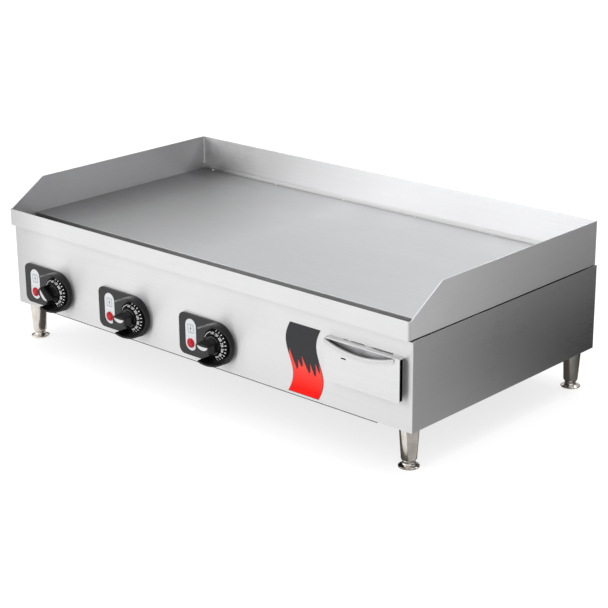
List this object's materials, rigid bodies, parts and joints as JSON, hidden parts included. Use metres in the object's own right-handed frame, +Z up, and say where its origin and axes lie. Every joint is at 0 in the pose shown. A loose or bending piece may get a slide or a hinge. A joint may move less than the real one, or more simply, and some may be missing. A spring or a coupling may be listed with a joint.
{
  "type": "flat top griddle",
  "caption": "Electric countertop flat top griddle: steel plate with splash guards and grease trough on a stainless body with collared dial knobs, a grease drawer and levelling feet.",
  "frame": {"origin": "centre of the overall box at floor level, under the levelling feet", "axes": "+X to the right seen from the front, +Y towards the back, +Z up; the controls face -Y"},
  "size_m": [0.914, 0.5436, 0.289],
  "materials": {
    "plate_steel": "ground steel plate, satin",
    "stainless": "brushed stainless sheet",
    "stainless_inner": "mill finish stainless sheet",
    "weld_metal": "ground and polished weld",
    "galvanised": "galvanised sheet, dull",
    "screw_zinc": "zinc plated",
    "element_sheath": "oxidised alloy sheath",
    "insulation": "mineral wool",
    "copper": "drawn copper",
    "thermostat_case": "moulded phenolic",
    "bezel_plastic": "fine textured moulding",
    "label_film": "printed polyester film",
    "lens_red": "clear red, polished",
    "lead_sleeve": "braided glass sleeve",
    "ceramic_block": "unglazed steatite",
    "brass_lug": "turned brass",
    "gland_plastic": "nylon",
    "badge_film": "printed vinyl film, satin gloss",
    "leg_nickel": "satin nickel, warm",
    "knob_plastic": "black phenolic, satin"
  },
  "bodies": {
    "chassis": {"griddle_plate": "plate_steel", "splash_left": "stainless", "splash_rear": "stainless", "splash_right": "stainless", "front_apron": "stainless", "grease_trough": "stainless_inner", "grease_chute": "stainless_inner", "corner_welds": "weld_metal", "front_panel": "stainless", "side_panel_left": "stainless", "side_panel_right": "stainless", "rear_panel": "galvanised", "bottom_cover": "galvanised", "leg_rail_left": "galvanised", "leg_rail_right": "galvanised", "panel_screws": "screw_zinc", "plate_spacers": "galvanised", "heating_element_left": "element_sheath", "heating_element_centre": "element_sheath", "heating_element_right": "element_sheath", "element_clamps": "galvanised", "clamp_studs": "screw_zinc", "insulation_blanket": "insulation", "insulation_pan": "galvanised", "heat_shield": "galvanised", "sensor_bulbs": "copper", "thermostat_left": "thermostat_case", "thermostat_centre": "thermostat_case", "thermostat_right": "thermostat_case", "thermostat_screws": "screw_zinc", "bezel_left": "bezel_plastic", "bezel_centre": "bezel_plastic", "bezel_right": "bezel_plastic", "label_left": "label_film", "label_centre": "label_film", "label_right": "label_film", "pilot_lamp_left": "lens_red", "pilot_lamp_centre": "lens_red", "pilot_lamp_right": "lens_red", "wiring_leads": "lead_sleeve", "terminal_block": "ceramic_block", "ground_lug": "brass_lug", "cord_gland": "gland_plastic", "gland_locknut": "gland_plastic", "drawer_runners": "galvanised", "badge": "badge_film", "leg_front_left": "leg_nickel", "leg_front_right": "leg_nickel", "leg_rear_left": "leg_nickel", "leg_rear_right": "leg_nickel"},
    "knob_left_body": {"knob_left": "knob_plastic"},
    "knob_centre_body": {"knob_centre": "knob_plastic"},
    "knob_right_body": {"knob_right": "knob_plastic"},
    "drawer": {"drawer_pan": "stainless_inner", "drawer_front": "stainless"},
    "foot_front_left_body": {"foot_front_left": "leg_nickel"},
    "foot_front_right_body": {"foot_front_right": "leg_nickel"},
    "foot_rear_left_body": {"foot_rear_left": "leg_nickel"},
    "foot_rear_right_body": {"foot_rear_right": "leg_nickel"}
  },
  "joints": [
    {"name": "knob_left_turn", "type": "hinge", "parent": "chassis", "child": "knob_left_body", "pos_m": [-0.343, -0.25225, 0.112], "axis": [0, 1, 0], "range_deg": [-165, 75]},
    {"name": "knob_centre_turn", "type": "hinge", "parent": "chassis", "child": "knob_centre_body", "pos_m": [-0.143, -0.25225, 0.112], "axis": [0, 1, 0], "range_deg": [-120, 120]},
    {"name": "knob_right_turn", "type": "hinge", "parent": "chassis", "child": "knob_right_body", "pos_m": [0.057, -0.25225, 0.112], "axis": [0, 1, 0], "range_deg": [-120, 120]},
    {"name": "drawer_slide", "type": "slide", "parent": "chassis", "child": "drawer", "axis": [0, -1, 0], "range_m": [0, 0.3]},
    {"name": "foot_front_left_adjust", "type": "slide", "parent": "chassis", "child": "foot_front_left_body", "axis": [0, 0, -1], "range_m": [0, 0.02]},
    {"name": "foot_front_right_adjust", "type": "slide", "parent": "chassis", "child": "foot_front_right_body", "axis": [0, 0, -1], "range_m": [0, 0.02]},
    {"name": "foot_rear_left_adjust", "type": "slide", "parent": "chassis", "child": "foot_rear_left_body", "axis": [0, 0, -1], "range_m": [0, 0.02]},
    {"name": "foot_rear_right_adjust", "type": "slide", "parent": "chassis", "child": "foot_rear_right_body", "axis": [0, 0, -1], "range_m": [0, 0.02]}
  ]
}
